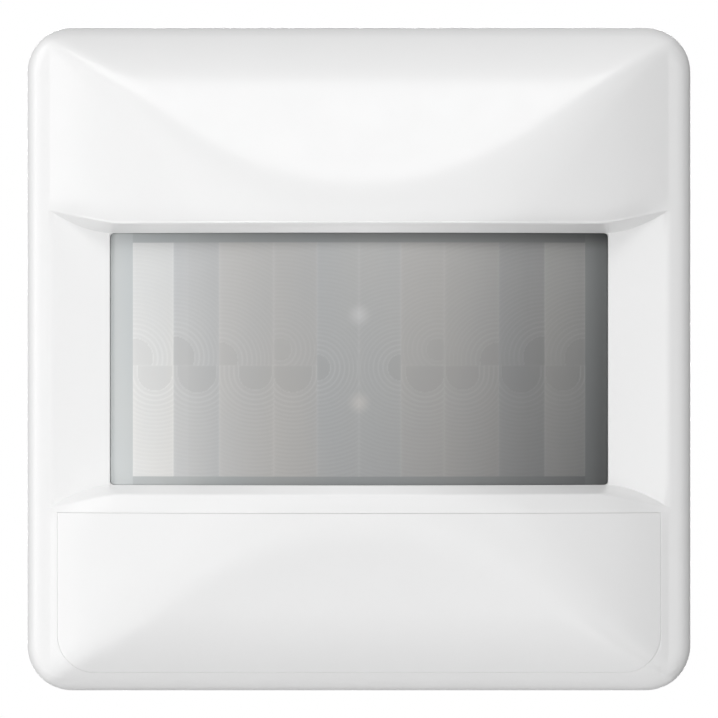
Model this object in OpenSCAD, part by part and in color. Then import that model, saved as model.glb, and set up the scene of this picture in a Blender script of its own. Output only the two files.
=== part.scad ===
// Flush-mounted motion sensor: square crowned cover, curved lens, setting controls under a
// pull-off panel, sensor head plugged on a round flush insert with a metal support frame.
// The wall plane is y = 0. The front faces -Y and up is +Z. All sizes are in millimetres.

/* [Cover] */
// Width and height of the cover
cover_size = 70; // [60:0.5:80]
// Outer corner radius of the cover
cover_corner_r = 4.75; // [2:0.25:8]
// How far the cover's front edge stands off the wall
edge_front = 7.9; // [6:0.1:10]
// How far the crown's highest line stands off the wall
crest_front = 19.2; // [16:0.1:22]
// Wall thickness of the cover
skin = 1.8; // [1.4:0.1:2.4]
// How far the flat side columns stand off the wall
column_front = 10.6; // [9.5:0.1:12]
// Half width of the trench across the front
trench_half_x = 31.9; // [30:0.1:33]
// Radial slope of the trench wall, mm of height per mm of depth
trench_flare = 0.68; // [0.3:0.01:1]

/* [Lens] */
// Width of the lens window
window_w = 52.5; // [48:0.5:56]
// Height of the lens window
window_h = 26.6; // [22:0.2:30]
// Outer radius of the curved lens
lens_r = 53.65; // [48:0.05:62]
// How far the middle of the lens stands off the wall
lens_front = 17; // [15:0.05:18.5]
// How far the lens sits back from the window's edge
lens_recess = 0.35; // [0.2:0.05:0.6]
// Thickness of the lens
lens_t = 0.6; // [0.5:0.1:1]
// Tilt of each infrared sensor to its side, degrees
pir_tilt = 30; // [0:5:45]

/* [Setting panel] */
// Half width of the panel opening
panel_half_x = 31.95; // [30:0.05:32]
// Top edge of the panel opening
panel_top = -16.35; // [-18:0.05:-16]
// Bottom edge of the panel opening
panel_bottom = -33.2; // [-33.2:0.05:-32]
// Radius of the opening's two lower corners
panel_corner_r = 4.1; // [2:0.1:6]
// Gap round the panel
panel_gap = 0.15; // [0.1:0.05:0.4]
// Height of the row of controls
control_z = -21.5; // [-23:0.1:-20]
// Radius of a setting dial
dial_r = 3.6; // [3:0.1:4]
// Travel of the mode switch to each side
mode_travel = 2; // [1.5:0.1:2.4]

/* [Insert] */
// Width and height of the support frame
frame_size = 65.6; // [62:0.2:66]
// Thickness of the support frame
frame_t = 1; // [0.8:0.1:1.5]
// Distance of each box-screw hole from the centre
box_screw_at = 30; // [30:0.5:30]
// Radius of a box-screw hole
box_screw_r = 1.75; // [1.7:0.05:2.2]
// Outer radius of the insert housing
insert_r = 22; // [20:0.5:25]
// Depth of the insert behind the wall plane
insert_depth = 24; // [22:0.5:32]
// Spacing of the wire terminals
terminal_pitch = 5.08; // [5.08:0.01:5.08]

/* [Hidden] */
$fn = 96;
half = cover_size / 2;
lens_axis_y = lens_r - lens_front;
rim_r = lens_r + lens_recess;
dial_x = [-18.5, -8.5, 1.5];
peg_x = 23.9;
peg_z = -18.4;
peg_r = 1.2;
peg_front = 13.6;
screw_x = 22.4;
frame_screw_at = 17.4;
clip_x = 14;
pin_pitch = 2.54;
seat_x = 8.5;
seat_front = 9.2;
pipe_z = 4.6;
screw_z = [-13.5, 22.4];
mode_x = 12;
button_x = 21;
board_front = 6.4;
board_back = 5;
fascia_front = 10.4;
fascia_back = 9.4;
flange_front = 1.8;
floor_front = 3.9;
floor_back = 2.6;
terminal_x = [-2, -1, 0, 1, 2];
wire_z = 2.4;
board_depth = 9;
board_under = 10.6;
fuse_x = -15.2;
choke_x = 13.8;
choke_z = -9;

// outer profile from the edge to the crest, each [distance off the wall, distance from the centre]
z_half = [[edge_front, half], [edge_front + 1.4, half - 0.5], [edge_front + 2.5, half - 1.4],
    [edge_front + 3.4, half - 2.4], [edge_front + 5.1, half - 4.8], [edge_front + 7.2, half - 9.2],
    [crest_front - 0.25, half - 20.4], [crest_front, half - 21.6]];
x_half = [[edge_front, half], [edge_front + 1.5, half - 0.5], [edge_front + 2.3, half - 1.3],
    [edge_front + 2.7, half - 2.4], [edge_front + 4.2, half - 5], [edge_front + 6, half - 9],
    [edge_front + 8.3, half - 15], [edge_front + 9.9, half - 21], [edge_front + 10.9, half - 27],
    [crest_front - 0.15, half - 32], [crest_front, 0]];

// how far a profile point moves in: the full inset on the rounded edge, less on the slopes
function shift(i, inset) = i < 4 ? inset : 0.3 * inset;

// a [front, across] list mirrored into a closed outline that starts on the wall side at back
function outline(list, back, inset) = concat(
    [[-back, -(list[0][1] - inset)]],
    [for (i = [0:len(list) - 1]) [-(list[i][0] - inset), -max(list[i][1] - shift(i, inset), 0)]],
    [for (i = [len(list) - 1:-1:0]) [-(list[i][0] - inset), max(list[i][1] - shift(i, inset), 0)]],
    [[-back, list[0][1] - inset]]);

// a shape drawn in [y, z], run along x between two stations
module along_x(x0, x1) {
    translate([x0, 0, 0]) rotate([90, 0, 90]) linear_extrude(x1 - x0) children();
}

// a shape drawn in [x, z], run from one distance off the wall to a larger one
module outward(f0, f1) {
    translate([0, -f0, 0]) rotate([90, 0, 0]) linear_extrude(f1 - f0) children();
}

// a round bar standing off the wall at [x, z]
module bar(x, z, r, f0, f1) {
    translate([x, -f0, z]) rotate([90, 0, 0]) cylinder(r = r, h = f1 - f0);
}

// a block between two corners given as x, distance off the wall and z
module block(x0, x1, f0, f1, z0, z1) {
    translate([x0, -f1, z0]) cube([x1 - x0, f1 - f0, z1 - z0]);
}

module rounded_rect(w, h, r) {
    union() {
        square([w - 2 * r, h], center = true);
        square([w, h - 2 * r], center = true);
        for (x = [-1, 1], z = [-1, 1]) translate([x * (w / 2 - r), z * (h / 2 - r)]) circle(r);
    }
}

// the crowned outer form, or the same form moved in by inset
module pillow(inset, back, corner) {
    intersection() {
        outward(back, crest_front + 3) rounded_rect(cover_size - 2 * inset, cover_size - 2 * inset, corner);
        along_x(-half, half) polygon([for (p = outline(z_half, back, inset)) [p[0], p[1]]]);
        translate([0, 0, -half]) linear_extrude(cover_size)
            polygon([for (p = outline(x_half, back, inset)) [p[1], p[0]]]);
    }
}

// the trench is turned about the lens's own axis, so its walls flare the same all along
module trench(half_x, front, wall, h) {
    intersection() {
        translate([0, lens_axis_y, 0]) rotate_extrude($fn = 360)
            polygon([[40, -h - wall], [rim_r, -h - wall], [rim_r + 8, -h - wall - 8 * trench_flare],
                [rim_r + 8, h + wall + 8 * trench_flare], [rim_r, h + wall], [40, h + wall]]);
        block(-half_x, half_x, front, crest_front + 3, -half + 8, half - 8);
    }
}

// the setting panel's outline: sharp at the top, round at the bottom
module panel_outline(gap) {
    x = panel_half_x - gap;
    r = panel_corner_r - gap;
    top = panel_top - gap;
    low = panel_bottom + gap;
    union() {
        translate([-x, low + r]) square([2 * x, top - low - r]);
        translate([-x + r, low]) square([2 * x - 2 * r, top - low]);
        for (s = [-1, 1]) translate([s * (x - r), low + r]) circle(r);
    }
}

module front_cover() {
    color("white") union() {
        difference() {
            pillow(0, 0.2, cover_corner_r);
            difference() {
                pillow(skin, 0, cover_corner_r - skin);
                trench(half - skin + 1, column_front - skin, 1.5, window_h / 2);
            }
            trench(trench_half_x, column_front, 0, window_h / 2);
            block(-window_w / 2, window_w / 2, column_front - skin - 0.1, column_front + 1, -window_h / 2, window_h / 2);
            outward(7, crest_front + 2) panel_outline(0);
        }
        for (s = [-1, 1], t = [-20, 20]) {
            translate([s * 29.975, -5.6, t]) cube([6.65, 4, 2], center = true);
            translate([t, -5.6, s * 29.975]) cube([2, 4, 6.65], center = true);
        }
    }
}

module setting_cover() {
    color("white") difference() {
        intersection() {
            difference() {
                pillow(0, 0.2, cover_corner_r);
                pillow(skin, 0, cover_corner_r - skin);
            }
            outward(8.2, crest_front + 2) panel_outline(panel_gap);
        }
        for (s = [-1, 1]) bar(s * peg_x, peg_z, peg_r, 8, peg_front);
    }
}

// two catch pegs pressed into blind holes in the panel
module panel_pegs() {
    color("white") for (s = [-1, 1]) bar(s * peg_x, peg_z, peg_r, 8.7, peg_front);
}

module fresnel_lens() {
    h = window_h / 2 - 0.05;
    e = window_w / 2 - 0.05;
    color("lightgrey") union() {
        intersection() {
            translate([0, lens_axis_y, 0]) rotate_extrude($fn = 360)
                polygon([[lens_r - lens_t, -h], [lens_r, -h], [lens_r, h], [lens_r - lens_t, h]]);
            block(-e, e, 8, 22, -h, h);
        }
        for (s = [-1, 1]) {
            translate([s * (e - 0.4), 0, 0]) block(-0.4, 0.4, 8.05, 10.1, -h, h);
            translate([s * (e + 0.8), 0, 0]) block(-1.55, 1.55, 8.05, 8.7, -h, h);
        }
    }
}

module lens_frame() {
    color("dimgray") difference() {
        block(-28.2, 28.2, 7, 8.05, -15.6, 15.6);
        block(-24.9, 24.9, 6, 9, -12.7, 12.7);
    }
}

module head_housing() {
    color("gainsboro") difference() {
        union() {
            difference() {
                outward(floor_back, 7) rounded_rect(53.2, 53.2, 3);
                outward(floor_front, 8) rounded_rect(50.4, 50.4, 1.6);
            }
            for (x = [-1, 1], z = screw_z) bar(x * screw_x, z, 2.2, floor_front - 0.1, board_back);
        }
        block(-5.6, 5.6, 2, 5, -4.1, 4.1);
        for (x = [-1, 1], z = screw_z) bar(x * screw_x, z, 0.9, 3.4, 6);
        for (x = [-1, 1], z = [-1, 1]) translate([x * clip_x, -5.1, z * 26.6]) cube([6.4, 1, 1], center = true);
    }
}

module control_fascia() {
    color("gainsboro") difference() {
        block(-25.8, 25.8, 7, fascia_front, -26.6, -16.2);
        block(-24.6, 24.6, 6, fascia_back, -25.4, -17.2);
        for (x = dial_x) bar(x, control_z, dial_r + 0.3, 9, 11);
        block(mode_x - 3.9, mode_x + 3.9, 9, 11, control_z - 1.4, control_z + 1.4);
        bar(button_x, control_z, 2.3, 9, 11);
        for (s = [-1, 1]) bar(s * peg_x, peg_z, peg_r + 0.1, 8, 11);
        // clearance for the panel pegs behind the plate
        for (s = [-1, 1]) block(s * 24.4 - 0.9, s * 24.4 + 0.9, 8.3, fascia_back, -20, -17.2);
    }
}

module sensor_board() {
    color("darkgreen") difference() {
        outward(board_back, board_front) rounded_rect(50, 50, 1.4);
        for (x = [-1, 1], z = screw_z) bar(x * screw_x, z, 1, 4, 7);
    }
}

module pir_holder() {
    across = 5.5 * cos(pir_tilt);
    back = 5.5 * sin(pir_tilt);
    color("ivory") difference() {
        translate([0, 0, -6]) linear_extrude(12)
            polygon([[-13.3, -board_front], [13.3, -board_front], [seat_x + across, -seat_front + back],
                [seat_x - across, -seat_front - back], [-seat_x + across, -seat_front - back],
                [-seat_x - across, -seat_front + back]]);
        for (s = [-1, 1]) bar(0, s * pipe_z, 1, 6, 13);
        block(-1.6, 1.6, 6, 7.7, 3.4, 5.8);
        block(-1.6, 1.6, 6, 7.7, -5.8, -3.4);
    }
}

// places its children on one sensor's seat, with the seat's outward normal along -Y
module on_seat(side) {
    translate([side * seat_x, -seat_front, 0]) rotate([0, 0, side * pir_tilt]) children();
}

module pir_cans() {
    color("silver") for (s = [-1, 1]) on_seat(s) difference() {
        union() {
            bar(0, 0, 4.95, 0, 0.6);
            bar(0, 0, 4.5, 0.5, 4.2);
        }
        block(-2.3, 2.3, 3.7, 5, -1.8, 1.8);
    }
}

module pir_windows() {
    color("darkslategray") for (s = [-1, 1]) on_seat(s) block(-2.3, 2.3, 3.7, 4.1, -1.8, 1.8);
}

module day_light_pipe() {
    color("azure") bar(0, pipe_z, 0.9, 7.5, 16.2);
}

module led_light_pipe() {
    color("azure") bar(0, -pipe_z, 0.9, 7.5, 16.2);
}

module photodiode() {
    color("black") block(-1.2, 1.2, board_front, 7.4, 3.8, 5.4);
}

module status_led() {
    color("lightyellow") block(-1.2, 1.2, board_front, 7.4, -5.4, -3.8);
}

module trimmer_bodies() {
    color("steelblue") for (x = dial_x) difference() {
        block(x - 3.6, x + 3.6, board_front, 8.6, control_z - 3.6, control_z + 3.6);
        bar(x, control_z, 1.56, 6.9, 9);
    }
}

// a setting dial: disc through the fascia, stem in the trimmer, driver slot and pointer notch
module dial(x) {
    color("whitesmoke") difference() {
        union() {
            bar(x, control_z, dial_r, 8.9, 11.2);
            bar(x, control_z, 1.5, 7, 8.95);
        }
        block(x - 2.6, x + 2.6, 10.4, 12, control_z - 0.45, control_z + 0.45);
        block(x - 0.3, x + 0.3, 10.7, 12, control_z + 1.9, control_z + 4);
    }
}

module dial_brightness() { dial(dial_x[0]); }

module dial_time() { dial(dial_x[1]); }

module dial_range() { dial(dial_x[2]); }

module mode_switch_body() {
    color("black") difference() {
        block(mode_x - 5.6, mode_x + 4.6, board_front, 8.5, control_z - 3, control_z + 3);
        block(mode_x - 3.8, mode_x + 3.8, 7.2, 9, control_z - 1, control_z + 1);
    }
}

module mode_slider() {
    color("whitesmoke") difference() {
        union() {
            block(mode_x - 1.6, mode_x + 1.6, 9, 11.1, control_z - 1.1, control_z + 1.1);
            block(mode_x - 3, mode_x + 3, 8.8, 9.1, control_z - 2.2, control_z + 2.2);
            block(mode_x - 1, mode_x + 1, 7.5, 8.9, control_z - 0.7, control_z + 0.7);
        }
        for (i = [-1, 0, 1]) block(mode_x + i - 0.2, mode_x + i + 0.2, 10.8, 12, control_z - 2, control_z + 2);
    }
}

module test_button() {
    color("whitesmoke") union() {
        bar(button_x, control_z, 2, 9, 11);
        bar(button_x, control_z, 2.8, 8.8, 9.1);
    }
}

module button_switch() {
    color("black") union() {
        block(button_x - 3, button_x + 3, board_front, 7.5, control_z - 3, control_z + 3);
        bar(button_x, control_z, 1.5, 7.4, 8.1);
    }
}

module controller_chip() {
    color("black") block(-5, 5, board_front, 6.95, 14, 24);
}

module board_screws() {
    color("silver") for (x = [-1, 1], z = screw_z) difference() {
        union() {
            bar(x * screw_x, z, 1.7, board_front, 6.95);
            bar(x * screw_x, z, 0.85, 3.6, board_front + 0.1);
        }
        translate([x * screw_x, -7, z]) cube([2.2, 0.6, 0.4], center = true);
        translate([x * screw_x, -7, z]) cube([0.4, 0.6, 2.2], center = true);
    }
}

module plug_body() {
    color("black") block(-5, 5, 2.9, board_back, -3.4, 3.4);
}

module plug_pins() {
    color("gold") for (x = [-1, 0, 1], z = [-0.5, 0.5]) bar(x * pin_pitch, z * pin_pitch, 0.4, -4, 2.9);
}

module support_frame() {
    w = frame_size / 2;
    c = 6;
    color("silver") difference() {
        outward(0, frame_t) polygon([[-w + c, -w], [w - c, -w], [w, -w + c], [w, w - c], [w - c, w], [-w + c, w],
            [-w, w - c], [-w, -w + c]]);
        bar(0, 0, insert_r + 0.6, -1, 2);
        for (s = [-1, 1]) {
            bar(s * box_screw_at, 0, box_screw_r, -1, 2);
            bar(0, s * box_screw_at, box_screw_r, -1, 2);
        }
        for (x = [-1, 1], z = [-1, 1]) bar(x * frame_screw_at, z * frame_screw_at, 1.05, -1, 2);
    }
}

module frame_screws() {
    color("silver") for (x = [-1, 1], z = [-1, 1]) difference() {
        union() {
            bar(x * frame_screw_at, z * frame_screw_at, 1.8, flange_front, 2.4);
            bar(x * frame_screw_at, z * frame_screw_at, 1, 0.1, flange_front + 0.1);
        }
        translate([x * frame_screw_at, -2.4, z * frame_screw_at]) cube([2.4, 0.6, 0.4], center = true);
    }
}

module retaining_clips() {
    color("silver") for (x = [-1, 1], z = [-1, 1]) translate([x * clip_x, 0, 0]) union() {
        translate([0, -3.3, z * 26.95]) cube([6, 4.6, 0.4], center = true);
        translate([0, -1.2, z * 28.5]) cube([6, 0.4, 3.5], center = true);
        translate([0, -5.1, z * 26.6]) cube([5.6, 0.6, 0.7], center = true);
    }
}

module insert_housing() {
    d = insert_depth;
    color("darkslategray") difference() {
        union() {
            bar(0, 0, insert_r, -d, -0.3);
            // narrower neck where it passes through the support frame
            bar(0, 0, insert_r - 1, -1, flange_front);
            bar(0, 0, 26.4, frame_t, flange_front);
        }
        difference() {
            bar(0, 0, insert_r - 2.1, -(d - 1.5), 3);
            for (a = [30, 150, 270]) bar(17.6 * cos(a), 17.6 * sin(a), 1.6, -(d - 1.4), -board_under);
        }
        bar(0, 0, insert_r - 1.5, 0.6, 3);
        for (x = [-1, 1], z = [-1, 1]) bar(x * frame_screw_at, z * frame_screw_at, 1.05, 0.5, 3);
        for (i = terminal_x) {
            bar(i * terminal_pitch, wire_z, 1.7, -(d + 1), -(d - 2));
            bar(i * terminal_pitch, -wire_z, 2, -(d + 1), -(d - 2));
        }
    }
}

module insert_lid() {
    color("darkslategray") difference() {
        bar(0, 0, insert_r - 1.6, 0.6, flange_front);
        block(-5.3, 5.3, 0, 3, -3.8, 3.8);
    }
}

module socket_block() {
    color("black") difference() {
        block(-5.1, 5.1, -board_depth, 1.6, -3.6, 3.6);
        for (x = [-1, 0, 1], z = [-0.5, 0.5]) bar(x * pin_pitch, z * pin_pitch, 0.5, -5, 2);
    }
}

module power_board() {
    color("darkgreen") bar(0, 0, 19.7, -board_under, -board_depth);
}

module relay() {
    color("royalblue") block(-9, 9, -board_depth, -0.6, -17, -7);
}

module filter_capacitor() {
    color("goldenrod") block(-6, 6, -board_depth, -0.4, 8.5, 15.5);
}

module bulk_capacitors() {
    color("midnightblue") for (s = [-1, 1]) bar(s * 11.4, 10.4, 4, -board_depth, -1);
}

module varistor() {
    color("dodgerblue") union() {
        translate([13.2, 4.6, 0]) rotate([0, 90, 0]) cylinder(r = 3.8, h = 3);
        for (z = [-2, 2]) bar(14.7, z, 0.4, -board_depth, -7);
    }
}

module fuse_body() {
    color("beige") translate([fuse_x, 5.6, -4.5]) cylinder(r = 2.3, h = 9);
}

module fuse_caps() {
    color("silver") for (s = [-1, 1]) union() {
        translate([fuse_x, 5.6, s * 5.5 - 1]) cylinder(r = 2.6, h = 2);
        bar(fuse_x, s * 5.5, 0.5, -board_depth, -8);
    }
}

module choke() {
    color("sienna") union() {
        bar(choke_x, choke_z, 3.2, -3, -2.4);
        bar(choke_x, choke_z, 2.6, -8.4, -2.9);
        bar(choke_x, choke_z, 3.2, -board_depth, -8.3);
    }
}

module terminal_block() {
    color("gray") difference() {
        block(-13.4, 13.4, -22.3, -board_under, -6, 6);
        for (i = terminal_x) block(i * terminal_pitch - 2.1, i * terminal_pitch + 2.1, -23, -13, -5, 5);
    }
}

module terminal_cages() {
    color("gold") for (i = terminal_x) difference() {
        block(i * terminal_pitch - 2, i * terminal_pitch + 2, -20.4, -13, -4.9, 4.9);
        bar(i * terminal_pitch, wire_z, 1.6, -21, -14);
        bar(i * terminal_pitch, -wire_z, 1.3, -21, -14);
    }
}

module terminal_screws() {
    color("silver") for (i = terminal_x) difference() {
        union() {
            bar(i * terminal_pitch, -wire_z, 1.25, -20.5, -14.5);
            bar(i * terminal_pitch, -wire_z, 1.8, -21.9, -20.4);
        }
        block(i * terminal_pitch - 2, i * terminal_pitch + 2, -23, -21.3, -2.65, -2.15);
    }
}

front_cover();
setting_cover();
panel_pegs();
fresnel_lens();
lens_frame();
head_housing();
control_fascia();
sensor_board();
pir_holder();
pir_cans();
pir_windows();
day_light_pipe();
led_light_pipe();
photodiode();
status_led();
trimmer_bodies();
dial_brightness();
dial_time();
dial_range();
mode_switch_body();
mode_slider();
test_button();
button_switch();
controller_chip();
board_screws();
plug_body();
plug_pins();
support_frame();
frame_screws();
retaining_clips();
insert_housing();
insert_lid();
socket_block();
power_board();
relay();
filter_capacitor();
bulk_capacitors();
varistor();
fuse_body();
fuse_caps();
choke();
terminal_block();
terminal_cages();
terminal_screws();
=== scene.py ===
"""Looks of the flush motion sensor: fine meshes for cover, panel and lens, materials and light."""
import math

import bmesh
import bpy
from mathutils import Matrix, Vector


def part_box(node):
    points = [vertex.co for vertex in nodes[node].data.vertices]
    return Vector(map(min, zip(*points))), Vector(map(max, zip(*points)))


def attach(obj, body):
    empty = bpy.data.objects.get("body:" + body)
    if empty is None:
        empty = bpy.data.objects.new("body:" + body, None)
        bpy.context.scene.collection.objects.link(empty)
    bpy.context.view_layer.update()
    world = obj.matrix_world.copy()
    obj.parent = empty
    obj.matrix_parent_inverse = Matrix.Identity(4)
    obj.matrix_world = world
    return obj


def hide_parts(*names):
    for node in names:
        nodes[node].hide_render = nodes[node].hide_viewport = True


MM = 0.001

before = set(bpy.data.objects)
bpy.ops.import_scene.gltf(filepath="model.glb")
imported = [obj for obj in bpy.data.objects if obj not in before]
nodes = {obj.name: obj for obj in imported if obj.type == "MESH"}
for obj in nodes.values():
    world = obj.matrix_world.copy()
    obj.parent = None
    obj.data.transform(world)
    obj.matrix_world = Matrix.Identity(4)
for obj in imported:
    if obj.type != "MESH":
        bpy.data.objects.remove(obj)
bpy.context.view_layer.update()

# ---------------------------------------------------------------- sizes, in millimetres
# Depths are distances off the wall, so a point's y is minus its depth.

cover_low, cover_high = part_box("front_cover")
lens_low, lens_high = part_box("fresnel_lens")
panel_low, panel_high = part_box("setting_cover")

# the cover: half its width, its highest line, its back edge and its roundings
HALF = cover_high[0] / MM
CREST = -cover_low[1] / MM
BACK = -cover_high[1] / MM
CORNER_R = 4.75
SKIN = 1.8
EDGE_R = 1.2

# the flat columns beside the window, and the band that falls away outside their fold
COLUMN = 10.6
FOLD_X = 32.6
BAND_SLOPE = 0.46
FOLD_SOFT = 0.35

# the crown: how far its two profiles would rise past the crest where they don't meet it,
# the slope of the upper and lower ends, and how softly the two profiles blend
SIDE_LIFT = 0.75
END_LIFT = 0.85
END_SLOPE = 0.40
END_STEEP = 1.2
END_RUN = 9.5
BLEND_EDGE = 0.5
BLEND_GROWTH = 0.10

# the window and the lens in it
WINDOW_X = 26.25
WINDOW_Z = 13.3
WINDOW_R = 0.4
WINDOW_LIP = 0.02
WINDOW_LIP_R = 0.14
LENS_R = 53.65
LENS_FRONT = -lens_low[1] / MM
LENS_AXIS = LENS_R - LENS_FRONT
LENS_HALF_Z = lens_high[2] / MM
LENS_HALF_X = 26.2
LENS_T = 0.6
LENS_SETBACK = 0.02
SIDE_WALL_T = 0.8
SIDE_WALL_FRONT = 9.6
FLANGE_X = 28.55
FLANGE_BACK = 8.05
FLANGE_FRONT = 8.7

# the trench: the window's rim, and the foot and ridge of its walls
RIM_R = 54.0
RIM_RISE = 0.65
RIDGE_Z = 14.22
RIDGE_STRAIGHT = 25.5
RIDGE_RISE = 1.45
RIDGE_POWER = 1.3
BASE_RISE = 2.25
BASE_POWER = 1.7
TRENCH_END = 32.5
RIDGE_SOFT = 0.12
RIDGE_DROP = 0.035
CREST_DIP = 0.42
CREST_RUN = 2.2
CREST_FADE = 1.5
BEAD = 0.09
BEAD_LOW = 0.035
WALL_BEHIND = 1.6
INSIDE_LOW = 6.0

# the setting panel's opening and its fine seam
GAP = 0.02
SEAM_RISE = 0.30
OPEN_X = panel_high[0] / MM + GAP
OPEN_TOP = panel_high[2] / MM + SEAM_RISE
OPEN_LOW = panel_low[2] / MM - GAP
OPEN_R = 3.95 + GAP
LIP_R = 0.03
LIP_STEPS = (0.0, 0.015, 0.035)
LIP_END = 0.1
PANEL_BACK = 8.2

# the locating ribs inside the cover's walls
RIB_AT = 20
RIB_HALF = 1
RIB_FROM = 26.65
RIB_TO = 33.2
RIB_BACK = 3.6
RIB_FRONT = 7.6


# ---------------------------------------------------------------- the cover's surface

def soft_min(a, b, soft):
    """The smaller of a and b, rounded over where they are within soft of each other."""
    near = max(soft - abs(a - b), 0.0) / soft
    return min(a, b) - near * near * soft / 4


def round_over(distance, radius):
    """How far a rounded edge falls away at a distance in from the edge."""
    if distance >= radius:
        return 0.0
    rest = radius - max(distance, 0.0)
    return radius - math.sqrt(max(radius * radius - rest * rest, 0.0))


def side_profile(x):
    """Depth of the crown along x, from the fold at the rim to the middle."""
    x = abs(x)
    if x >= FOLD_X:
        return COLUMN - BAND_SLOPE * (x - FOLD_X)
    t = x / FOLD_X
    return COLUMN + (CREST + SIDE_LIFT - COLUMN) * (1 - t * t)


def end_profile(z):
    """Depth of the crown along z: a straight slope that steepens towards the edge."""
    inward = HALF - abs(z)
    steep_gain = (END_STEEP - END_SLOPE) * END_RUN / 3
    start = CREST + END_LIFT - END_SLOPE * (HALF - RIDGE_Z) - steep_gain
    rest = max(1 - inward / END_RUN, 0.0)
    return start + END_SLOPE * inward + steep_gain * (1 - rest ** 3)


def rim_distance(x, z):
    """Distance in from the cover's rounded outline."""
    qx = abs(x) - (HALF - CORNER_R)
    qz = abs(z) - (HALF - CORNER_R)
    outside = math.hypot(max(qx, 0.0), max(qz, 0.0))
    return CORNER_R - outside - min(max(qx, qz), 0.0)


def crown(x, z):
    """Depth of the crowned front."""
    inward = min(HALF - abs(x), HALF - abs(z))
    soft = BLEND_EDGE + BLEND_GROWTH * inward
    depth = soft_min(side_profile(x), end_profile(z), soft)
    return depth - round_over(rim_distance(x, z), EDGE_R)


def column(x, z):
    """Depth of the flat side columns and the rim band outside them."""
    past = abs(x) - FOLD_X
    if past <= -FOLD_SOFT:
        fall = 0.0
    elif past >= FOLD_SOFT:
        fall = BAND_SLOPE * past
    else:
        fall = BAND_SLOPE * (past + FOLD_SOFT) ** 2 / (4 * FOLD_SOFT)
    return COLUMN - fall - round_over(rim_distance(x, z), EDGE_R)


def base_z(x):
    """Height of the trench wall's foot."""
    past = max(min(abs(x), TRENCH_END) - WINDOW_X, 0.0)
    return WINDOW_Z + BASE_RISE * (past / (TRENCH_END - WINDOW_X)) ** BASE_POWER


def ridge_z(x):
    """Height of the ridge between the trench wall and the crown."""
    past = max(min(abs(x), TRENCH_END) - RIDGE_STRAIGHT, 0.0)
    return RIDGE_Z + RIDGE_RISE * (past / (TRENCH_END - RIDGE_STRAIGHT)) ** RIDGE_POWER


def window_z(x):
    """Half height of the window, with its corners rounded."""
    past = min(max(abs(x) - (WINDOW_X - WINDOW_R), 0.0), WINDOW_R)
    return WINDOW_Z - WINDOW_R - WINDOW_LIP + math.sqrt(WINDOW_R ** 2 - past ** 2)


def front(x, z):
    """Depth of the crowned front, rounded down towards the trench's ridge."""
    depth = crown(x, z)
    past = max(abs(z) - ridge_z(x), 0.0)
    if past < CREST_RUN and abs(x) < TRENCH_END:
        fade = min(max(depth - COLUMN, 0.0) / CREST_FADE, 1.0)
        depth -= CREST_DIP * fade * (1 - past / CREST_RUN) ** 2
    return depth


def foot_depth(x, z):
    """Depth at the trench wall's foot: the window's rim in the middle, the columns outside."""
    if abs(x) < WINDOW_X:
        rise = RIM_RISE * (1 - (x / WINDOW_X) ** 4)
        return math.sqrt(RIM_R ** 2 - x * x) - LENS_AXIS + rise
    return column(x, z)


def wall_depth(x, high):
    """Depth of the trench wall between its foot and the ridge."""
    base, ridge = base_z(x), ridge_z(x)
    low, top = foot_depth(x, base), front(x, ridge)
    return low + (top - low) * (high - base) / (ridge - base)


def outline_z(x):
    """Half height of the cover's outline at x."""
    past = abs(x) - (HALF - CORNER_R)
    if past <= 0:
        return HALF
    return HALF - CORNER_R + math.sqrt(max(CORNER_R ** 2 - past ** 2, 0.0))


def opening_distance(x, z, inset=0.0):
    """Signed distance from the setting panel's outline, moved in by inset; negative inside."""
    half = OPEN_X - inset
    top = OPEN_TOP - inset
    low = OPEN_LOW + inset
    r = OPEN_R - inset
    qx = abs(x) - (half - r)
    qz = (low + r) - z
    if qx > 0 and qz > 0:
        return math.hypot(qx, qz) - r
    return max(abs(x) - half, z - top, low - z)


def opening_low(x, inset=0.0):
    """Lower edge of the panel's outline at x."""
    half = OPEN_X - inset
    low = OPEN_LOW + inset
    r = OPEN_R - inset
    past = min(max(abs(x) - (half - r), 0.0), r)
    return low + r - math.sqrt(max(r * r - past * past, 0.0))


def inset_point(x, z):
    """Where an outer point sits on the inside of the wall: only the rim moves in."""
    start = HALF - CORNER_R
    scale = (CORNER_R - SKIN) / CORNER_R
    ix = x if abs(x) <= start else math.copysign(start + (abs(x) - start) * scale, x)
    iz = z if abs(z) <= start else math.copysign(start + (abs(z) - start) * scale, z)
    return ix, iz


# ---------------------------------------------------------------- mesh helpers

def spread(start, end, steps):
    """Even stations from start to end, end left out."""
    return [start + (end - start) * i / steps for i in range(steps)]


def eased_in(radius, steps):
    """Distances in from a rounded edge, close together at the edge; starts at 0."""
    return [radius * (1 - math.cos(math.pi / 2 * i / steps)) for i in range(steps)]


def mirrored(values):
    """Values from 0 up, mirrored to both sides."""
    return [-v for v in reversed(values) if v > 0] + list(values)


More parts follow.
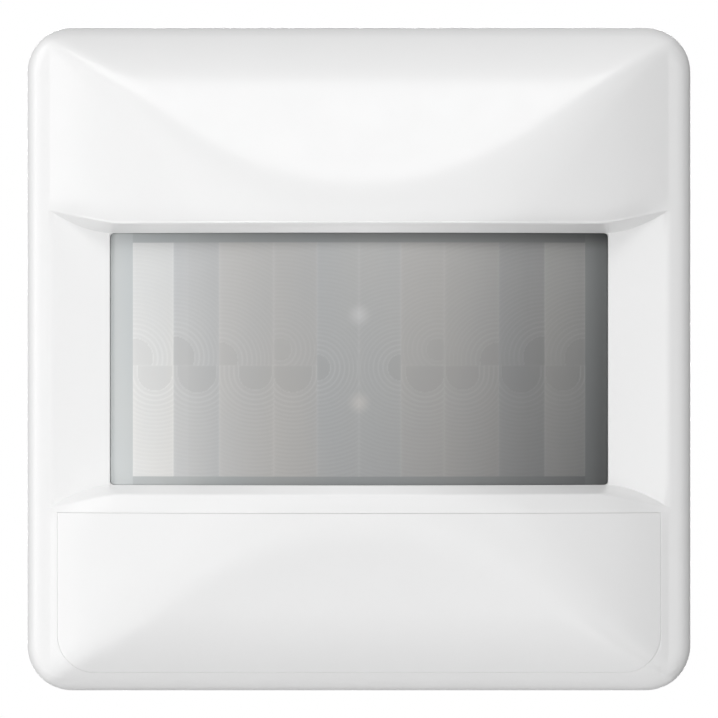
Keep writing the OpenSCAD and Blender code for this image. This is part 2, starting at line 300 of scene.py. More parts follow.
class Shape:
    """Vertices in millimetres and faces, turned into one object at the end."""

    def __init__(self):
        self.points = []
        self.faces = []

    def add(self, point):
        self.points.append(point)
        return len(self.points) - 1

    def block(self, x0, x1, d0, d1, z0, z1):
        """A block between two depths."""
        corners = [(x0, z0), (x1, z0), (x1, z1), (x0, z1)]
        low = [self.add((x, -d0, z)) for x, z in corners]
        high = [self.add((x, -d1, z)) for x, z in corners]
        for i in range(4):
            j = (i + 1) % 4
            self.faces.append((low[i], low[j], high[j], high[i]))
        self.faces.append(tuple(reversed(low)))
        self.faces.append(tuple(high))

    def sheet(self, xs, rows, outer, inner, keep, edge_back=None):
        """A closed sheet over a warped grid.

        outer and inner give a grid corner's two points, keep says which cells exist, and
        edge_back gives the two points that the outline runs back to.
        """
        n, m = len(xs), len(rows[0])
        front, rear, far = {}, {}, {}

        def corner(store, maker, i, j):
            if (i, j) not in store:
                store[i, j] = self.add(maker(i, j))
            return store[i, j]

        sides = {}
        for i in range(n - 1):
            for j in range(m - 1):
                if not keep(i, j):
                    continue
                ring = [(i, j), (i + 1, j), (i + 1, j + 1), (i, j + 1)]
                self.faces.append(tuple(corner(front, outer, *c) for c in ring))
                self.faces.append(tuple(corner(rear, inner, *c) for c in reversed(ring)))
                for a, b in zip(ring, ring[1:] + ring[:1]):
                    if (b, a) in sides:
                        del sides[b, a]
                    else:
                        sides[a, b] = True
        for a, b in sides:
            rim = all(c[0] in (0, n - 1) or c[1] in (0, m - 1) for c in (a, b))
            if rim and edge_back:
                out_back, in_back = edge_back
                a0, b0 = corner(front, outer, *a), corner(front, outer, *b)
                a1, b1 = corner(far, out_back, *a), corner(far, out_back, *b)
                a2, b2 = (self.add(in_back(*c)) for c in (a, b))
                self.faces.append((a0, a1, b1, b0))
                self.faces.append((a1, a2, b2, b1))
                self.faces.append((a2, corner(rear, inner, *a), corner(rear, inner, *b), b2))
            else:
                a0, b0 = corner(front, outer, *a), corner(front, outer, *b)
                a1, b1 = corner(rear, inner, *a), corner(rear, inner, *b)
                self.faces.append((a0, a1, b1, b0))

    def build(self, name, body, material, replaces, sharp=38.0):
        """One object in metres, smooth except at edges sharper than the angle."""
        mesh = bpy.data.meshes.new(name)
        mesh.from_pydata([[c * MM for c in p] for p in self.points], [], self.faces)
        mesh.validate()
        merge_doubles(mesh)
        mesh.shade_smooth()
        mesh.set_sharp_from_angle(angle=math.radians(sharp))
        mesh.materials.append(material)
        obj = bpy.data.objects.new(name, mesh)
        bpy.context.scene.collection.objects.link(obj)
        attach(obj, body)
        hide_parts(*replaces)
        return obj


def merge_doubles(mesh):
    """Joins points that coincide and turns every face outwards."""
    work = bmesh.new()
    work.from_mesh(mesh)
    bmesh.ops.remove_doubles(work, verts=work.verts, dist=0.002 * MM)
    bmesh.ops.recalc_face_normals(work, faces=work.faces)
    work.to_mesh(mesh)
    work.free()


# ---------------------------------------------------------------- front cover

def cover_columns():
    """x stations of the cover, close together at every edge and round stretch."""
    corner = [WINDOW_X - WINDOW_R + WINDOW_R * math.sin(math.pi / 2 * i / 6) for i in range(6)]
    window_lip = [WINDOW_X + d for d in (0.0, 0.03, 0.08, WINDOW_LIP_R, 0.3)]
    arc = [OPEN_X - OPEN_R + OPEN_R * math.sin(math.pi / 2 * i / 12) for i in range(12)]
    opening_lip = [OPEN_X + d for d in (*LIP_STEPS, 0.2)]
    fold = [FOLD_X + d for d in (-0.35, -0.2, -0.07, 0.07, 0.2, 0.35)]
    rim = [HALF - d for d in reversed(eased_in(EDGE_R, 12))]
    values = spread(0.0, corner[0], 36) + corner + window_lip
    values += spread(WINDOW_X + 0.55, arc[0], 2) + arc
    values += opening_lip + fold + spread(FOLD_X + 0.5, HALF - EDGE_R, 3) + rim
    return mirrored(values)


def cover_rows(x):
    """z stations at x from the bottom outline up, and where the two openings lie in them."""
    base, ridge, window, top = base_z(x), ridge_z(x), window_z(x), outline_z(x)
    low = opening_low(x)
    soft = min(RIDGE_SOFT, (ridge - base) / 3)
    edge = min(EDGE_R, top + low - 0.25)
    rim = list(eased_in(edge, 10))
    lip = (LIP_END, *reversed(LIP_STEPS[1:]))
    wall = spread(base, ridge - soft, 5) + [ridge - soft]
    crest = [ridge + d for d in (0.0, soft, 2 * soft, 0.35, 0.7, 1.1, 1.6)]
    rows = [-top + d for d in rim] + spread(-top + edge, low - 0.2, 4)
    rows += [low - d for d in lip]
    opening_from = len(rows)
    rows += spread(low, OPEN_TOP, 16)
    opening_to = len(rows)
    rows += [OPEN_TOP] + [OPEN_TOP + d for d in reversed(lip)]
    rows += spread(OPEN_TOP + 0.2, -ridge - 2 * soft, 5)
    rows += [-ridge - 2 * soft, -ridge - soft, -ridge] + [-z for z in reversed(wall)]
    window_from = len(rows)
    rows += spread(-window, window, 14)
    window_to = len(rows)
    rows += [window] + wall + crest
    rows += spread(ridge + CREST_RUN, top - edge, 26) + [top - d for d in reversed(rim)]
    return rows, (opening_from, opening_to, window_from, window_to)


def cover_depth(x, z):
    """Depth of the cover's front at any point, trench and lips included."""
    high = abs(z)
    base, ridge = base_z(x), ridge_z(x)
    if high < base - 1e-6:
        past = abs(x) - WINDOW_X
        lip = round_over(past, WINDOW_LIP_R) if past >= 0 else 0.0
        return foot_depth(x, z) - lip
    if high < ridge - 1e-6:
        return wall_depth(x, high)
    depth = front(x, z)
    if high < ridge + 1.5 * RIDGE_SOFT:
        fade = min(max(depth - COLUMN, 0.0) / 2, 1.0)
        depth += (BEAD if z > 0 else BEAD_LOW) * fade
    if high < ridge + 1e-6:
        depth -= RIDGE_DROP * min(max(depth - COLUMN, 0.0), 1.0)
    if z < 0:
        depth -= round_over(max(opening_distance(x, z), 0.0), LIP_R)
    return depth


def cover_inside(x, z):
    """Depth of the inside of the front, behind the trench, its walls and the crown."""
    if abs(z) < WINDOW_Z + WALL_BEHIND:
        return COLUMN - SKIN
    return max(front(x, z) - SKIN, INSIDE_LOW)


def build_cover(material):
    """The front cover: a shell with two openings, and eight locating ribs on its walls."""
    xs = cover_columns()
    stations = [cover_rows(x) for x in xs]
    rows = [s[0] for s in stations]
    opening_from, opening_to, window_from, window_to = stations[0][1]

    def keep(i, j):
        middle = abs(xs[i] + xs[i + 1]) / 2
        if opening_from <= j < opening_to and middle < OPEN_X:
            return False
        return not (window_from <= j < window_to and middle < WINDOW_X)

    def outer(i, j):
        return (xs[i], -cover_depth(xs[i], rows[i][j]), rows[i][j])

    def inner(i, j):
        x, z = inset_point(xs[i], rows[i][j])
        return (x, -cover_inside(xs[i], rows[i][j]), z)

    def out_back(i, j):
        return (xs[i], -BACK, rows[i][j])

    def in_back(i, j):
        x, z = inset_point(xs[i], rows[i][j])
        return (x, -BACK, z)

    shape = Shape()
    shape.sheet(xs, rows, outer, inner, keep, (out_back, in_back))
    for side in (-1, 1):
        for across in (-RIB_AT, RIB_AT):
            a0, a1 = across - RIB_HALF, across + RIB_HALF
            r0, r1 = sorted((side * RIB_FROM, side * RIB_TO))
            shape.block(r0, r1, RIB_BACK, RIB_FRONT, a0, a1)
            shape.block(a0, a1, RIB_BACK, RIB_FRONT, r0, r1)
    return shape.build("cover_shell", "base", material, ["front_cover"])


# ---------------------------------------------------------------- setting panel

def build_panel(material):
    """The pull-off panel: the crown's own surface inside the opening, as a closed shell."""
    half = OPEN_X - GAP
    r = OPEN_R - GAP
    arc = [half - r + r * math.sin(math.pi / 2 * i / 14) for i in range(14)]
    lip = [half - d for d in (LIP_END, *reversed(LIP_STEPS)) if half - d > arc[-1]]
    xs = mirrored(spread(0.0, arc[0], 26) + arc + lip)
    rows = []
    for x in xs:
        low = opening_low(x, GAP)
        top = OPEN_TOP - GAP
        row = [low + d for d in LIP_STEPS] + spread(low + 0.12, top - 0.12, 30)
        row += [top - 0.12] + [top - d for d in reversed(LIP_STEPS)]
        rows.append(row)

    def outer(i, j):
        x, z = xs[i], rows[i][j]
        inside = max(-opening_distance(x, z, GAP), 0.0)
        return (x, -(front(x, z) - round_over(inside, LIP_R)), z)

    def inner(i, j):
        x, z = xs[i], rows[i][j]
        return (x, -max(front(x, z) - SKIN, PANEL_BACK), z)

    shape = Shape()
    shape.sheet(xs, rows, outer, inner, lambda i, j: True)
    return shape.build("panel_shell", "panel", material, ["setting_cover"])


# ---------------------------------------------------------------- lens

# the zones of one half, from the middle outwards: where they end, and for the upper and the
# lower row each zone's ring centre, the radius of its plain disc and how crisp its rings are
SEAMS = (0.0, 4.4, 8.97, 14.7, 19.53, 23.85)
UPPER_CENTRES = ((4.4, -0.9), (8.3, 1.0), (14.6, -0.1), (19.5, 0.2), (23.8, 0.1))
LOWER_CENTRES = ((4.4, -0.9), (6.95, -1.5), (10.9, -1.5), (17.05, -1.5), (21.5, -1.5))
UPPER_DISCS = (1.38, 1.2, 1.85, 2.2, 2.1)
LOWER_DISCS = (1.38, 2.0, 1.75, 2.05, 1.85)
UPPER_CLEAR = (1.0, 0.35, 0.7, 1.0, 0.7)
LOWER_CLEAR = (1.0, 0.7, 0.6, 0.8, 0.7)
ROW_SPLIT = -0.69
BAND_TOP = 12.2
BAND_LOW = -12.4
GROOVE_PITCH = 0.42
GROOVE_WIDE = 0.17
GROOVE_DEPTH = 0.016
WIDE_RUN = 2.0
LENS_GRID = 0.105


def rings(x, z):
    """Column number, distance out from the inner disc in rings, and how crisp the rings are."""
    across = abs(x)
    if across > SEAMS[-1] or not BAND_LOW < z < BAND_TOP:
        return None
    index = sum(1 for seam in SEAMS[1:-1] if across > seam)
    upper = z > ROW_SPLIT
    cx, cz = (UPPER_CENTRES if upper else LOWER_CENTRES)[index]
    disc = (UPPER_DISCS if upper else LOWER_DISCS)[index]
    clear = (UPPER_CLEAR if upper else LOWER_CLEAR)[index]
    below = 0.0 if upper or index == 0 else max(z - cz, 0.0)
    out = math.hypot(across - cx, 0.0 if below else z - cz) - disc
    if out < 0:
        return index, out / disc, clear
    turns = out / GROOVE_PITCH - GROOVE_WIDE / GROOVE_PITCH * min(out, WIDE_RUN)
    return index, max(turns, 0.0), clear


def groove(x, z):
    """Height of the ring grooves over the plain curve: a fine saw profile round each centre."""
    found = rings(x, z)
    if found is None:
        return 0.0
    _, turns, clear = found
    if turns < 0:
        return -GROOVE_DEPTH * (1 + turns) ** 2
    return -GROOVE_DEPTH * (0.5 + 0.5 * clear) * (turns - math.floor(turns))


# each zone's colour, mostly painted shade: whole columns made lighter or darker, with a slight
# tint
COLUMN_TINTS_AND_SHADES = (
    (0.99, 1.0, 1.0),
    (1.01, 1.0, 0.985),
    (1.0, 0.99, 0.975),
    (0.915, 0.925, 0.93),
    (1.12, 1.12, 1.105),
)
# the plain margins: a slight tint that also darkens them as painted shade, and more painted shade
# on the top and bottom bands
MARGIN_TINT_AND_SHADE = (0.86, 0.895, 0.90)
MARGIN_SHADE = 0.88
# painted shade over the whole lens: its level, its fall to the right and rise upwards, a painted
# ripple across the middle, and painted shadows at the window's top and right edges
SHADE = 0.40
SHADE_FALL = 0.0235
SHADE_CURVE = 0.0001
SHADE_UP = 0.0093
SHADE_TWIST = 0.0005
WAVE = 18.0
WAVE_LEVEL = 0.98
WAVE_SWING = 0.12
TOP_SHADOW = 0.45
TOP_SHADOW_GROWTH = 0.010
TOP_SHADOW_RUN = 2.0
SIDE_SHADOW = 0.3
SIDE_SHADOW_RUN = 2.4
# painted shade on the plain disc at each ring centre
DISC_SHADE = 0.055
# painted highlights along the ring grooves: their base strength, the extra on crisp rings, and how
# fast that extra fades outwards
RING_HIGHLIGHT = 0.04
RING_HIGHLIGHT_CLEAR = 0.09
RING_HIGHLIGHT_FADE = 5
# painted highlights along the seams between zones, a narrow and a wide one
SEAM_HIGHLIGHT = 0.05
SEAM_WIDE_HIGHLIGHT = 0.02
# painted glow where the two light pipes press on the back of the sheet: its height, spread and
# strength, and the warm colour of the lower one
SPOT_Z = 4.6
SPOT_RUN = 1.5
SPOT_GLOW = 0.10
SPOT_GLOW_WARMTH = (1.0, 0.86, 0.72)


def near(distance, width):
    """1 on a line or point, fading smoothly to 0 at width."""
    t = max(1 - abs(distance) / width, 0.0)
    return t * t * (3 - 2 * t)


def lens_painted_shade(x, z):
    """Painted shade over the sheet: darker to the right and below, with a painted ripple of light
    and shade across the middle, a painted shadow under the window's top edge and painted shade
    along its right edge.
    """
    rise = (SHADE_UP + SHADE_TWIST * x) * z
    shade = SHADE * math.exp(-SHADE_FALL * x - SHADE_CURVE * x * x + rise)
    if abs(x) < WAVE:
        shade *= WAVE_LEVEL + WAVE_SWING * math.sin(math.pi * x / WAVE)
    top_shadow = TOP_SHADOW + TOP_SHADOW_GROWTH * x
    shade *= 1 - top_shadow * near(z - LENS_HALF_Z, TOP_SHADOW_RUN)
    return shade * (1 - SIDE_SHADOW * near(x - LENS_HALF_X, SIDE_SHADOW_RUN))


def lens_colour_and_painted_light(x, z):
    """Colour of the sheet, mostly painted light: painted shade zone by zone and on the plain discs
    and margins, painted highlights along the rings and seams, and a painted glow at the light
    pipes.
    """
    found = rings(x, z)
    shade = lens_painted_shade(x, z)
    if found is None:
        # painted shade on the plain margins
        if abs(x) < SEAMS[-1]:
            shade *= MARGIN_SHADE
        return [shade * t for t in MARGIN_TINT_AND_SHADE]
    index, turns, clear = found
    # painted shade on the plain disc
    if turns < 0:
        shade *= 1 - DISC_SHADE * clear
    else:
        part = turns - math.floor(turns)
        # painted highlight along each ring line
        ring_line = RING_HIGHLIGHT + RING_HIGHLIGHT_CLEAR * clear * math.exp(-turns / RING_HIGHLIGHT_FADE)
        shade *= 1 + ring_line * near(min(part, 1 - part), 0.3)
    # painted highlights along the seams between columns and along the split between the rows
    seam = min(abs(abs(x) - s) for s in SEAMS)
    shade *= 1 + SEAM_HIGHLIGHT * near(seam, 0.16) + SEAM_WIDE_HIGHLIGHT * near(seam, 0.5)
    shade *= 1 + SEAM_HIGHLIGHT * near(z - ROW_SPLIT, 0.12) * (index > 0)
    # the zone's tint and painted shade
    tone = [shade * t for t in COLUMN_TINTS_AND_SHADES[index]]
    # painted glow of the light pipes behind the sheet
    upper_glow = SPOT_GLOW * near(math.hypot(x, z - SPOT_Z), SPOT_RUN)
    lower_glow = SPOT_GLOW * near(math.hypot(x, z + SPOT_Z), SPOT_RUN)
    return [t + upper_glow + lower_glow * w for t, w in zip(tone, SPOT_GLOW_WARMTH)]


def corner_height(x):
    """Half height of the lens at x, its corners rounded like the window's."""
    past = min(max(abs(x) - (LENS_HALF_X - WINDOW_R), 0.0), WINDOW_R)
    return LENS_HALF_Z - WINDOW_R + math.sqrt(WINDOW_R ** 2 - past ** 2)


def build_lens(material):
    """The curved lens with its ring grooves, its side walls and their flanges."""
    edge = LENS_HALF_X
    count = int(2 * edge / LENS_GRID)
    xs = [-edge + 2 * edge * i / count for i in range(count + 1)]
    tall = int(2 * LENS_HALF_Z / LENS_GRID)
    rows = []
    for x in xs:
        high = corner_height(x)
        rows.append([-high + 2 * high * j / tall for j in range(tall + 1)])

    def outer(i, j):
        depth = math.sqrt(LENS_R ** 2 - xs[i] ** 2) - LENS_AXIS
        return (xs[i], -(depth - LENS_SETBACK + groove(xs[i], rows[i][j])), rows[i][j])

    def inner(i, j):
        inner_r = LENS_R - LENS_T
        depth = math.sqrt(inner_r ** 2 - xs[i] ** 2) - LENS_AXIS
        return (xs[i], -depth, rows[i][j])

    shape = Shape()
    shape.sheet(xs, rows, outer, inner, lambda i, j: True)
    high = LENS_HALF_Z
    for side in (-1, 1):
        inside = side * (edge - SIDE_WALL_T)
        x0, x1 = sorted((inside, side * edge))
        shape.block(x0, x1, FLANGE_FRONT, SIDE_WALL_FRONT, -high + WINDOW_R, high - WINDOW_R)
        x0, x1 = sorted((inside, side * FLANGE_X))
        shape.block(x0, x1, FLANGE_BACK, FLANGE_FRONT, -high, high)
    replaced = ["fresnel_lens"]
    lens = shape.build("lens_sheet", "base", material, replaced, sharp=60.0)
    mesh = lens.data
    # every point's colour, with its painted light and shade
    painted_light_colours = mesh.attributes.new("zone_colour_and_painted_light", "FLOAT_COLOR", "POINT")
    for vertex, value in zip(mesh.vertices, painted_light_colours.data):
        value.color = (*lens_colour_and_painted_light(vertex.co.x / MM, vertex.co.z / MM), 1.0)
    return lens


# ---------------------------------------------------------------- materials

def new_material(name):
    """A node material, its tree and its shader."""
    material = bpy.data.materials.new(name)
    material.use_nodes = True
    tree = material.node_tree
    shader = tree.nodes["Principled BSDF"]
    return material, tree, shader


def coordinates(tree, scale=(1, 1, 1)):
    """Object coordinates in millimetres."""
    source = tree.nodes.new("ShaderNodeTexCoord")
    mapping = tree.nodes.new("ShaderNodeMapping")
    mapping.inputs["Scale"].default_value = [s / MM for s in scale]
    tree.links.new(source.outputs["Object"], mapping.inputs["Vector"])
    return mapping.outputs["Vector"]


def noise(tree, vector, scale, detail=2.0):
    """Noise with scale features to the millimetre."""
    node = tree.nodes.new("ShaderNodeTexNoise")
    node.inputs["Scale"].default_value = scale
    node.inputs["Detail"].default_value = detail
    tree.links.new(vector, node.inputs["Vector"])
    return node.outputs["Fac"]


def remap(tree, value, low, high):
    """Noise's middle range spread from low to high."""
    node = tree.nodes.new("ShaderNodeMapRange")
    node.inputs["From Min"].default_value = 0.3
    node.inputs["From Max"].default_value = 0.7
    node.inputs["To Min"].default_value = low
    node.inputs["To Max"].default_value = high
    tree.links.new(value, node.inputs["Value"])
    return node.outputs["Result"]


def blend_colours(tree, factor, dark, light):
    """A colour between two, by factor."""
    node = tree.nodes.new("ShaderNodeMix")
    node.data_type = "RGBA"
    tree.links.new(factor, node.inputs["Factor"])
    node.inputs["A"].default_value = (*dark, 1)
    node.inputs["B"].default_value = (*light, 1)
    return node.outputs["Result"]


def bump(tree, shader, height, distance, strength):
    """Relief of so many millimetres on a shader."""
    node = tree.nodes.new("ShaderNodeBump")
    node.inputs["Strength"].default_value = strength
    node.inputs["Distance"].default_value = distance * MM
    tree.links.new(height, node.inputs["Height"])
    tree.links.new(node.outputs["Normal"], shader.inputs["Normal"])


def scaled(colour, factor):
    """A lighter or darker colour."""
    return tuple(min(c * factor, 1.0) for c in colour)


def plastic(name, colour, rough=0.4, grain=6.0, depth=0.01, vary=0.05, coat=0.0):
    """Moulded plastic: fine spark-eroded grain, slight colour drift and uneven gloss."""
    material, tree, shader = new_material(name)
    place = coordinates(tree)
    drift = remap(tree, noise(tree, place, 0.12, 3.0), 0.0, 1.0)
    tone = blend_colours(tree, drift, scaled(colour, 1 - vary), scaled(colour, 1 + vary))
    tree.links.new(tone, shader.inputs["Base Color"])
    gloss = remap(tree, noise(tree, place, 0.5, 3.0), rough * 0.88, rough * 1.12)
    tree.links.new(gloss, shader.inputs["Roughness"])
    bump(tree, shader, noise(tree, place, grain, 2.0), depth, 0.5)
    shader.inputs["Coat Weight"].default_value = coat
    shader.inputs["Coat Roughness"].default_value = 0.12
    return material


def metal(name, colour, rough=0.3, stretch=(0.4, 0.4, 12), vary=0.12):
    """Rolled or plated metal: fine drawn lines and cloudy gloss."""
    material, tree, shader = new_material(name)
    lines = noise(tree, coordinates(tree, stretch), 2.0, 4.0)
    cloud = noise(tree, coordinates(tree), 0.25, 3.0)
    drift = remap(tree, cloud, 0.0, 1.0)
    tone = blend_colours(tree, drift, scaled(colour, 1 - vary), scaled(colour, 1 + vary))
    tree.links.new(tone, shader.inputs["Base Color"])
    tree.links.new(remap(tree, lines, rough * 0.8, rough * 1.3), shader.inputs["Roughness"])
    bump(tree, shader, lines, 0.01, 0.3)
    shader.inputs["Metallic"].default_value = 1.0
    return material


def circuit_board(name, colour):
    """Solder resist over copper tracks: faint raised lanes in a lighter green."""
    material, tree, shader = new_material(name)
    place = coordinates(tree)
    lanes = tree.nodes.new("ShaderNodeTexVoronoi")
    lanes.feature = "DISTANCE_TO_EDGE"
    lanes.inputs["Scale"].default_value = 0.45
    tree.links.new(place, lanes.inputs["Vector"])
    track = tree.nodes.new("ShaderNodeMapRange")
    track.inputs["From Min"].default_value = 0.06
    track.inputs["From Max"].default_value = 0.10
    tree.links.new(lanes.outputs["Distance"], track.inputs["Value"])
    tone = blend_colours(tree, track.outputs["Result"], scaled(colour, 1.7), colour)
    tree.links.new(tone, shader.inputs["Base Color"])
    tree.links.new(remap(tree, noise(tree, place, 1.5), 0.28, 0.42), shader.inputs["Roughness"])
    bump(tree, shader, track.outputs["Result"], 0.04, 0.5)
    return material


def clear_pipe(name):
    """Clear polycarbonate rod with faint flow lines."""
    material, tree, shader = new_material(name)
    shader.inputs["Base Color"].default_value = (0.93, 0.95, 0.95, 1)
    shader.inputs["Transmission Weight"].default_value = 0.85
    shader.inputs["IOR"].default_value = 1.58
    flow = noise(tree, coordinates(tree, (1, 0.1, 1)), 2.0, 3.0)
    tree.links.new(remap(tree, flow, 0.08, 0.2), shader.inputs["Roughness"])
    return material


def milky_lens(name):
    """Milky polyethylene sheet whose colour carries the painted light and shade of its zones, with
    soft clouding in the material.
    """
    material, tree, shader = new_material(name)
    place = coordinates(tree)
    zones = tree.nodes.new("ShaderNodeAttribute")
    zones.attribute_name = "zone_colour_and_painted_light"
    cloud = noise(tree, coordinates(tree, (1, 1, 0.3)), 0.14, 3.0)
    drift = remap(tree, cloud, 0.0, 1.0)
    tint = blend_colours(tree, drift, (0.95, 0.96, 0.97), (1.0, 0.99, 0.975))
    product = tree.nodes.new("ShaderNodeMix")
    product.data_type = "RGBA"
    product.blend_type = "MULTIPLY"
    product.inputs["Factor"].default_value = 1.0
    tree.links.new(zones.outputs["Color"], product.inputs["A"])
    tree.links.new(tint, product.inputs["B"])
    tree.links.new(product.outputs["Result"], shader.inputs["Base Color"])
    gloss = remap(tree, noise(tree, place, 0.8, 3.0), 0.30, 0.36)
    tree.links.new(gloss, shader.inputs["Roughness"])
    bump(tree, shader, noise(tree, place, 5.0), 0.004, 0.3)
    shader.inputs["Specular IOR Level"].default_value = 0.5
    return material


def paint(name, material):
    """Gives a CAD node its finish."""
    obj = nodes[name]
    for index in range(max(len(obj.material_slots), 1)):
        if obj.material_slots:
            obj.material_slots[index].material = material
        else:
            obj.data.materials.append(material)


def finish_inside():
    """Materials of every carried-over CAD node."""
    finishes = {
        plastic("frame_grey", (0.30, 0.31, 0.32), 0.5): ["lens_frame"],
        plastic("housing_light", (0.78, 0.78, 0.77), 0.45): ["head_housing"],
        plastic("fascia_light", (0.82, 0.82, 0.81), 0.5, 8.0, 0.015): ["control_fascia"],
        plastic("holder_ivory", (0.76, 0.73, 0.64), 0.5): ["pir_holder"],
        plastic("chip_black", (0.03, 0.03, 0.033), 0.55, 12.0, 0.01, 0.2):
            ["photodiode", "mode_switch_body", "button_switch", "controller_chip"],
        plastic("led_cream", (0.90, 0.80, 0.52), 0.2, coat=0.5): ["status_led"],
        plastic("trimmer_blue", (0.06, 0.18, 0.42), 0.4): ["trimmer_bodies"],
        plastic("dial_white", (0.86, 0.86, 0.85), 0.35):
            ["dial_brightness", "dial_time", "dial_range", "mode_slider"],
        plastic("button_grey", (0.5, 0.51, 0.52), 0.35): ["test_button"],
        plastic("socket_black", (0.04, 0.04, 0.043), 0.45): ["plug_body", "socket_block"],
        plastic("insert_dark", (0.11, 0.12, 0.13), 0.48, 5.0, 0.02, 0.1): ["insert_housing"],
        plastic("lid_dark", (0.14, 0.15, 0.16), 0.45): ["insert_lid"],
        plastic("relay_blue", (0.03, 0.10, 0.36), 0.3): ["relay"],
        plastic("film_yellow", (0.78, 0.52, 0.08), 0.35): ["filter_capacitor"],
        plastic("can_sleeve", (0.02, 0.04, 0.13), 0.22, coat=0.4): ["bulk_capacitors"],
        plastic("varistor_blue", (0.03, 0.20, 0.55), 0.2, 1.5, 0.05, coat=0.6): ["varistor"],
        plastic("fuse_ceramic", (0.84, 0.81, 0.74), 0.25, 2.0, 0.02): ["fuse_body"],
        plastic("choke_ferrite", (0.15, 0.085, 0.05), 0.5, 2.0, 0.06, 0.2): ["choke"],
        plastic("terminal_grey", (0.38, 0.39, 0.40), 0.45): ["terminal_block"],
        metal("can_metal", (0.66, 0.65, 0.62), 0.25): ["pir_cans"],
        metal("pir_window", (0.09, 0.10, 0.12), 0.12, (1, 1, 1)): ["pir_windows"],
        metal("screw_zinc", (0.68, 0.69, 0.70), 0.3, (4, 4, 4)):
            ["board_screws", "frame_screws", "terminal_screws", "fuse_caps"],
        metal("pin_gold", (0.83, 0.63, 0.28), 0.2): ["plug_pins"],
        metal("frame_steel", (0.72, 0.73, 0.74), 0.4, (12, 0.5, 0.5)): ["support_frame"],
        metal("clip_spring", (0.48, 0.49, 0.51), 0.28): ["retaining_clips"],
        metal("cage_brass", (0.78, 0.60, 0.30), 0.3): ["terminal_cages"],
        circuit_board("board_green", (0.02, 0.13, 0.06)): ["sensor_board", "power_board"],
        clear_pipe("light_pipe"): ["day_light_pipe", "led_light_pipe"],
    }
    for material, names in finishes.items():
        for name in names:
            paint(name, material)


# ---------------------------------------------------------------- floor, light and camera

# the surroundings: their brightness, the side they lean to, and how dark the far side is
WORLD_POWER = 0.38
WORLD_SEEN = 1.0
WORLD_LEAN = (-0.85, 0.0, 0.75)
WORLD_DARK = 0.12
WORLD_DARK_TO = -0.8
WORLD_LIGHT_FROM = -0.25

# soft boxes: name, place and size in metres, and power in watts
LIGHT_TARGET = (0, -0.01, 0)
LIGHTS = (
    ("left_box", (-1.07, -0.43, 0.25), (0.55, 0.8), 2.8),
    ("graze_box", (-1.2, -0.12, 0.1), (0.5, 1.0), 1.6),
    ("front_box", (-0.12, -1.5, -0.1), (1.6, 1.6), 6.1),
    ("top_box", (-0.1, -0.9, 1.0), (0.9, 0.45), 4.5),
    ("right_box", (0.95, -1.25, -0.15), (0.9, 0.9), 2.7),
    ("low_box", (0, -1.25, -0.95), (0.9, 0.6), 2.5),
    ("back_box", (0, 1.5, 0.1), (0.5, 0.5), 9.0),
)

# the camera: its distance, the depth of the cover's outline, and the share of the frame's
# width that the outline fills
CAMERA_AWAY = 1.6
OUTLINE_AWAY = 0.009
FRAME_FILL = 0.9234
SENSOR = 36


def area_light(name, place, size, power):
    """A white soft box aimed at the cover."""
    data = bpy.data.lights.new(name, "AREA")
    data.shape = "RECTANGLE"
    data.size, data.size_y = size
    data.energy = power
    obj = bpy.data.objects.new(name, data)
    obj.location = place
    direction = Vector(LIGHT_TARGET) - Vector(place)
    obj.rotation_euler = direction.to_track_quat("-Z", "Y").to_euler()
    bpy.context.scene.collection.objects.link(obj)


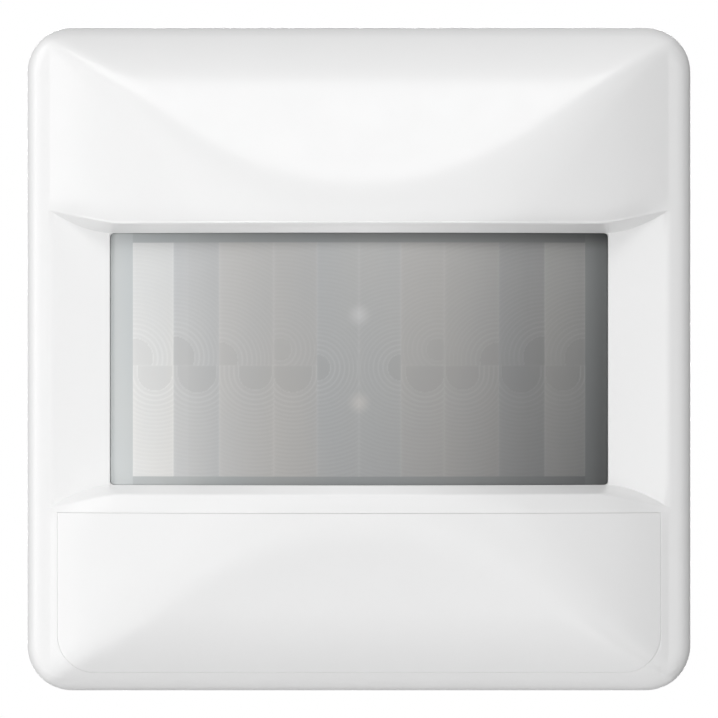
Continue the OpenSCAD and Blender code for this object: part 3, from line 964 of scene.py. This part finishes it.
def build_world():
    """Soft surroundings, lighter above and to the left, and plain white behind the object."""
    world = bpy.data.worlds.new("surroundings")
    world.use_nodes = True
    tree = world.node_tree
    tree.nodes.clear()
    place = tree.nodes.new("ShaderNodeTexCoord")
    lean = tree.nodes.new("ShaderNodeVectorMath")
    level = tree.nodes.new("ShaderNodeMapRange")
    path = tree.nodes.new("ShaderNodeLightPath")
    cast = tree.nodes.new("ShaderNodeBackground")
    show = tree.nodes.new("ShaderNodeBackground")
    pick = tree.nodes.new("ShaderNodeMixShader")
    out = tree.nodes.new("ShaderNodeOutputWorld")
    lean.operation = "DOT_PRODUCT"
    lean.inputs[1].default_value = WORLD_LEAN
    level.interpolation_type = "SMOOTHSTEP"
    level.inputs["From Min"].default_value = WORLD_DARK_TO
    level.inputs["From Max"].default_value = WORLD_LIGHT_FROM
    level.inputs["To Min"].default_value = WORLD_POWER * WORLD_DARK
    level.inputs["To Max"].default_value = WORLD_POWER
    cast.inputs["Color"].default_value = (1, 1, 1, 1)
    show.inputs["Color"].default_value = (1, 1, 1, 1)
    show.inputs["Strength"].default_value = WORLD_SEEN
    tree.links.new(place.outputs["Generated"], lean.inputs[0])
    tree.links.new(lean.outputs["Value"], level.inputs["Value"])
    tree.links.new(level.outputs["Result"], cast.inputs["Strength"])
    tree.links.new(path.outputs["Is Camera Ray"], pick.inputs["Fac"])
    tree.links.new(cast.outputs["Background"], pick.inputs[1])
    tree.links.new(show.outputs["Background"], pick.inputs[2])
    tree.links.new(pick.outputs["Shader"], out.inputs["Surface"])
    bpy.context.scene.world = world


def build_floor():
    """A plain pale floor well below the object."""
    material = plastic("floor_pale", (0.9, 0.9, 0.9), 0.6, 0.02, 0.2, 0.01)
    mesh = bpy.data.meshes.new("floor")
    reach = 0.5
    level = -0.6
    corners = [(-reach, -reach), (reach, -reach), (reach, reach), (-reach, reach)]
    mesh.from_pydata([(x, y, level) for x, y in corners], [], [(0, 1, 2, 3)])
    mesh.materials.append(material)
    floor = bpy.data.objects.new("floor", mesh)
    bpy.context.scene.collection.objects.link(floor)


def build_camera():
    """A long lens straight in front."""
    data = bpy.data.cameras.new("camera")
    obj = bpy.data.objects.new("camera", data)
    frame_width = 2 * HALF * MM / FRAME_FILL
    data.sensor_width = SENSOR
    data.lens = SENSOR * (CAMERA_AWAY - OUTLINE_AWAY) / frame_width
    data.clip_end = 20
    obj.location = (0, -CAMERA_AWAY, 0)
    obj.rotation_euler = (math.pi / 2, 0, 0)
    bpy.context.scene.collection.objects.link(obj)
    bpy.context.scene.camera = obj


# ---------------------------------------------------------------- everything in turn

cover_white = plastic("cover_white", (0.91, 0.91, 0.91), 0.32, 9.0, 0.003, 0.004, coat=0.25)
build_cover(cover_white)
build_panel(cover_white)
build_lens(milky_lens("lens_milky"))
finish_inside()
paint("panel_pegs", cover_white)
build_floor()
build_world()
for name, place, size, power in LIGHTS:
    area_light(name, place, size, power)
build_camera()
bpy.context.scene.view_settings.view_transform = "Standard"
